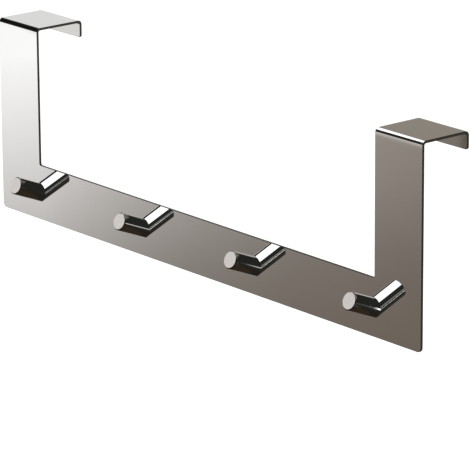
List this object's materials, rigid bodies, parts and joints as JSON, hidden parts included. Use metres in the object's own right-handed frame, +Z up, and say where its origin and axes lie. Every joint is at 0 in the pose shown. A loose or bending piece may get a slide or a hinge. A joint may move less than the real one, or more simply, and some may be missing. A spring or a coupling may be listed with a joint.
{
  "type": "over door hook rail",
  "caption": "Folded sheet rail that hangs over the top of a door on bridges with short lips, with straight round pegs that rise from its bar to hang clothes or towels on.",
  "frame": {"origin": "middle of the bar's back face, which lies on the door's front, at half the rail's length and half the bar's height", "axes": "+X along the rail to the right as seen from the room, +Y from the room into the door, +Z up"},
  "size_m": [0.5, 0.0719, 0.157],
  "materials": {
    "polished_sheet": "mirror-polished stainless steel sheet",
    "polished_peg": "polished stainless steel rod, end faces finely turned",
    "screw_steel": "plain stainless steel"
  },
  "bodies": {
    "root": {"door_rail": "polished_sheet", "hook_peg_1": "polished_peg", "hook_peg_2": "polished_peg", "hook_peg_3": "polished_peg", "hook_peg_4": "polished_peg", "peg_screws": "screw_steel"}
  },
  "joints": []
}
